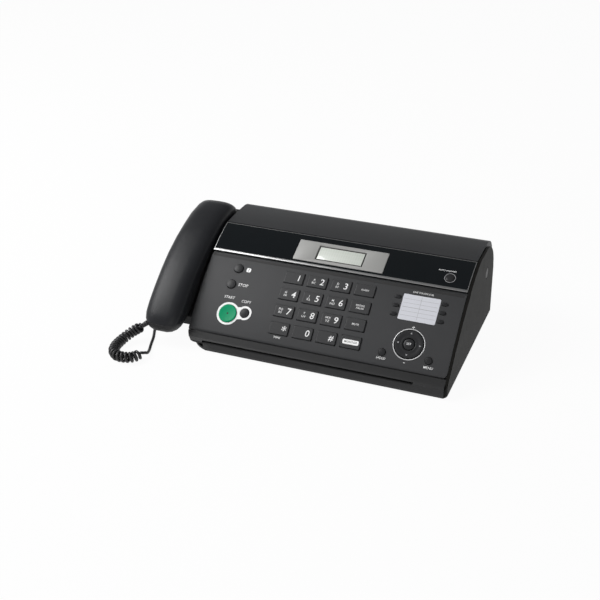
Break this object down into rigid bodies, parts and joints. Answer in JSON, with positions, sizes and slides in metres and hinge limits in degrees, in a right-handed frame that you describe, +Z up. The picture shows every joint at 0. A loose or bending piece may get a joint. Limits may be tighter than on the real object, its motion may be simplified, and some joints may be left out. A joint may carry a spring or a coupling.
{
  "type": "fax machine",
  "caption": "Desk fax machine with a sloping key panel, glossy display band, corded handset on a side cradle and a roll-paper compartment under a hinged top cover.",
  "frame": {"origin": "under the middle of the machine with its handset and without its cord, on the desk under the feet", "axes": "+X to the right along the front edge, +Y to the rear, +Z up; the operator stands at -Y"},
  "size_m": [0.3753, 0.2543, 0.1099],
  "materials": {
    "cabinet_plastic": "fine matt texture",
    "side_plastic": "satin",
    "panel_plastic": "satin",
    "cover_plastic": "satin",
    "handset_plastic": "satin",
    "handset_inner_plastic": "satin",
    "band_gloss": "polished",
    "display_parts": "smooth",
    "key_plastic": "satin",
    "green_plastic": "smooth",
    "inner_plastic": "plain",
    "board": "printed circuit board",
    "supply_board": "printed circuit board",
    "steel": "plated",
    "ceramic_head": "machined",
    "soft_rubber": "matt",
    "gear_plastic": "plain",
    "paper": "thermal paper",
    "card": "printed card",
    "cord_rubber": "satin",
    "nav_plastic": "satin"
  },
  "bodies": {
    "cabinet": {"bottom_cabinet": "cabinet_plastic", "right_side_cover": "side_plastic", "handset_cradle": "cabinet_plastic", "chassis_frame": "inner_plastic", "rubber_feet": "soft_rubber", "case_screws": "steel", "main_board": "board", "power_supply": "supply_board", "thermal_head": "ceramic_head", "image_sensor": "inner_plastic", "drive_motor": "steel", "speaker": "inner_plastic", "handset_cord": "cord_rubber"},
    "panel": {"operation_panel": "panel_plastic", "display_band": "band_gloss", "lcd_module": "display_parts", "key_board": "board", "one_touch_card": "card"},
    "cover": {"top_cover": "cover_plastic"},
    "handset": {"handset_outer_shell": "handset_plastic", "handset_inner_shell": "handset_inner_plastic", "earpiece_and_microphone": "inner_plastic"},
    "hook": {"hook_switch": "handset_inner_plastic"},
    "platen": {"platen_roller": "soft_rubber"},
    "feed": {"feed_roller": "soft_rubber"},
    "roll": {"paper_roll": "paper"},
    "pinion": {"motor_pinion": "gear_plastic"},
    "release": {"release_button": "handset_inner_plastic"},
    "nav_plate": {"nav_rocker_plate": "inner_plastic"},
    "nav": {"nav_ring": "nav_plastic"},
    "set": {"set_button": "nav_plastic"},
    "key_1": {"key_1": "key_plastic"},
    "key_2": {"key_2": "key_plastic"},
    "key_3": {"key_3": "key_plastic"},
    "key_flash": {"key_flash": "key_plastic"},
    "key_4": {"key_4": "key_plastic"},
    "key_5": {"key_5": "key_plastic"},
    "key_6": {"key_6": "key_plastic"},
    "key_redial": {"key_redial": "key_plastic"},
    "key_7": {"key_7": "key_plastic"},
    "key_8": {"key_8": "key_plastic"},
    "key_9": {"key_9": "key_plastic"},
    "key_mute": {"key_mute": "key_plastic"},
    "key_star": {"key_star": "key_plastic"},
    "key_0": {"key_0": "key_plastic"},
    "key_hash": {"key_hash": "key_plastic"},
    "key_monitor": {"key_monitor": "key_plastic"},
    "help_button": {"help_button": "key_plastic"},
    "stop_button": {"stop_button": "key_plastic"},
    "start_button": {"start_button": "green_plastic"},
    "copy_button": {"copy_button": "key_plastic"},
    "menu_button": {"menu_button": "key_plastic"},
    "broadcast_button": {"broadcast_button": "key_plastic"},
    "one_touch_1": {"one_touch_1": "key_plastic"},
    "one_touch_2": {"one_touch_2": "key_plastic"},
    "one_touch_3": {"one_touch_3": "key_plastic"},
    "one_touch_4": {"one_touch_4": "key_plastic"},
    "one_touch_5": {"one_touch_5": "key_plastic"},
    "one_touch_6": {"one_touch_6": "key_plastic"},
    "answer_button": {"answer_button": "key_plastic"}
  },
  "joints": [
    {"name": "panel_hinge", "type": "hinge", "parent": "cabinet", "child": "panel", "pos_m": [0.025, -0.0798, 0.01808], "axis": [1, 0, 0], "range_deg": [0, 35]},
    {"name": "cover_hinge", "type": "hinge", "parent": "cabinet", "child": "cover", "pos_m": [0.025, 0.09925, 0.067], "axis": [-1, 0, 0], "range_deg": [0, 75]},
    {"name": "handset_lift", "type": "slide", "parent": "cabinet", "child": "handset", "axis": [0, 0, 1], "range_m": [0, 0.08]},
    {"name": "hook_press", "type": "slide", "parent": "cabinet", "child": "hook", "axis": [0, 0, -1], "range_m": [0, 0.004], "stiffness_N_per_m": 150},
    {"name": "release_press", "type": "slide", "parent": "cabinet", "child": "release", "axis": [-1, 0, 0], "range_m": [0, 0.002], "stiffness_N_per_m": 600},
    {"name": "platen_spin", "type": "hinge", "parent": "cabinet", "child": "platen", "pos_m": [0.025, 0.02175, 0.0725], "axis": [1, 0, 0], "continuous": true},
    {"name": "pinion_spin", "type": "hinge", "parent": "cabinet", "child": "pinion", "pos_m": [0.025, 0.00894, 0.05586], "axis": [1, 0, 0], "continuous": true},
    {"name": "feed_spin", "type": "hinge", "parent": "cabinet", "child": "feed", "pos_m": [0.025, -0.00888, 0.04927], "axis": [1, 0, 0], "continuous": true},
    {"name": "roll_spin", "type": "hinge", "parent": "cabinet", "child": "roll", "pos_m": [0.025, 0.06675, 0.0455], "axis": [1, 0, 0], "continuous": true},
    {"name": "key_1_press", "type": "slide", "parent": "panel", "child": "key_1", "axis": [0, 0.5789, -0.8154], "range_m": [0, 0.001], "stiffness_N_per_m": 500},
    {"name": "key_2_press", "type": "slide", "parent": "panel", "child": "key_2", "axis": [0, 0.5789, -0.8154], "range_m": [0, 0.001], "stiffness_N_per_m": 500},
    {"name": "key_3_press", "type": "slide", "parent": "panel", "child": "key_3", "axis": [0, 0.5789, -0.8154], "range_m": [0, 0.001], "stiffness_N_per_m": 500},
    {"name": "key_flash_press", "type": "slide", "parent": "panel", "child": "key_flash", "axis": [0, 0.5789, -0.8154], "range_m": [0, 0.001], "stiffness_N_per_m": 500},
    {"name": "key_4_press", "type": "slide", "parent": "panel", "child": "key_4", "axis": [0, 0.6178, -0.7863], "range_m": [0, 0.001], "stiffness_N_per_m": 500},
    {"name": "key_5_press", "type": "slide", "parent": "panel", "child": "key_5", "axis": [0, 0.6178, -0.7863], "range_m": [0, 0.001], "stiffness_N_per_m": 500},
    {"name": "key_6_press", "type": "slide", "parent": "panel", "child": "key_6", "axis": [0, 0.6178, -0.7863], "range_m": [0, 0.001], "stiffness_N_per_m": 500},
    {"name": "key_redial_press", "type": "slide", "parent": "panel", "child": "key_redial", "axis": [0, 0.6178, -0.7863], "range_m": [0, 0.001], "stiffness_N_per_m": 500},
    {"name": "key_7_press", "type": "slide", "parent": "panel", "child": "key_7", "axis": [0, 0.6553, -0.7554], "range_m": [0, 0.001], "stiffness_N_per_m": 500},
    {"name": "key_8_press", "type": "slide", "parent": "panel", "child": "key_8", "axis": [0, 0.6553, -0.7554], "range_m": [0, 0.001], "stiffness_N_per_m": 500},
    {"name": "key_9_press", "type": "slide", "parent": "panel", "child": "key_9", "axis": [0, 0.6553, -0.7554], "range_m": [0, 0.001], "stiffness_N_per_m": 500},
    {"name": "key_mute_press", "type": "slide", "parent": "panel", "child": "key_mute", "axis": [0, 0.6553, -0.7554], "range_m": [0, 0.001], "stiffness_N_per_m": 500},
    {"name": "key_star_press", "type": "slide", "parent": "panel", "child": "key_star", "axis": [0, 0.6912, -0.7227], "range_m": [0, 0.001], "stiffness_N_per_m": 500},
    {"name": "key_0_press", "type": "slide", "parent": "panel", "child": "key_0", "axis": [0, 0.6912, -0.7227], "range_m": [0, 0.001], "stiffness_N_per_m": 500},
    {"name": "key_hash_press", "type": "slide", "parent": "panel", "child": "key_hash", "axis": [0, 0.6912, -0.7227], "range_m": [0, 0.001], "stiffness_N_per_m": 500},
    {"name": "key_monitor_press", "type": "slide", "parent": "panel", "child": "key_monitor", "axis": [0, 0.6912, -0.7227], "range_m": [0, 0.001], "stiffness_N_per_m": 500},
    {"name": "help_button_press", "type": "slide", "parent": "panel", "child": "help_button", "axis": [0, 0.5786, -0.8156], "range_m": [0, 0.001], "stiffness_N_per_m": 500},
    {"name": "stop_button_press", "type": "slide", "parent": "panel", "child": "stop_button", "axis": [0, 0.6172, -0.7868], "range_m": [0, 0.001], "stiffness_N_per_m": 500},
    {"name": "start_button_press", "type": "slide", "parent": "panel", "child": "start_button", "axis": [0, 0.6802, -0.733], "range_m": [0, 0.001], "stiffness_N_per_m": 500},
    {"name": "copy_button_press", "type": "slide", "parent": "panel", "child": "copy_button", "axis": [0, 0.6736, -0.7391], "range_m": [0, 0.001], "stiffness_N_per_m": 500},
    {"name": "menu_button_press", "type": "slide", "parent": "panel", "child": "menu_button", "axis": [0, 0.6974, -0.7167], "range_m": [0, 0.001], "stiffness_N_per_m": 500},
    {"name": "broadcast_button_press", "type": "slide", "parent": "panel", "child": "broadcast_button", "axis": [0, 0.6974, -0.7167], "range_m": [0, 0.001], "stiffness_N_per_m": 500},
    {"name": "one_touch_1_press", "type": "slide", "parent": "panel", "child": "one_touch_1", "axis": [0, 0.5786, -0.8156], "range_m": [0, 0.001], "stiffness_N_per_m": 500},
    {"name": "one_touch_2_press", "type": "slide", "parent": "panel", "child": "one_touch_2", "axis": [0, 0.5983, -0.8013], "range_m": [0, 0.001], "stiffness_N_per_m": 500},
    {"name": "one_touch_3_press", "type": "slide", "parent": "panel", "child": "one_touch_3", "axis": [0, 0.6178, -0.7863], "range_m": [0, 0.001], "stiffness_N_per_m": 500},
    {"name": "one_touch_4_press", "type": "slide", "parent": "panel", "child": "one_touch_4", "axis": [0, 0.5786, -0.8156], "range_m": [0, 0.001], "stiffness_N_per_m": 500},
    {"name": "one_touch_5_press", "type": "slide", "parent": "panel", "child": "one_touch_5", "axis": [0, 0.5983, -0.8013], "range_m": [0, 0.001], "stiffness_N_per_m": 500},
    {"name": "one_touch_6_press", "type": "slide", "parent": "panel", "child": "one_touch_6", "axis": [0, 0.6178, -0.7863], "range_m": [0, 0.001], "stiffness_N_per_m": 500},
    {"name": "answer_button_press", "type": "slide", "parent": "panel", "child": "answer_button", "axis": [0, 0.4305, -0.9026], "range_m": [0, 0.001], "stiffness_N_per_m": 500},
    {"name": "nav_tilt_sideways", "type": "hinge", "parent": "panel", "child": "nav_plate", "pos_m": [0.1247, -0.05883, 0.03331], "axis": [0, 0.7387, 0.674], "range_deg": [-3, 3], "stiffness_Nm_per_rad": 0.5},
    {"name": "nav_tilt_fore_aft", "type": "hinge", "parent": "nav_plate", "child": "nav", "pos_m": [0.1247, -0.06091, 0.0356], "axis": [1, 0, 0], "range_deg": [-3, 3], "stiffness_Nm_per_rad": 0.5},
    {"name": "set_button_press", "type": "slide", "parent": "panel", "child": "set", "axis": [0, 0.674, -0.7387], "range_m": [0, 0.001], "stiffness_N_per_m": 500}
  ],
  "couplings": [
    {"joint": "pinion_spin", "follows": "platen_spin", "ratio": -2},
    {"joint": "feed_spin", "follows": "platen_spin", "ratio": 1.1667}
  ]
}
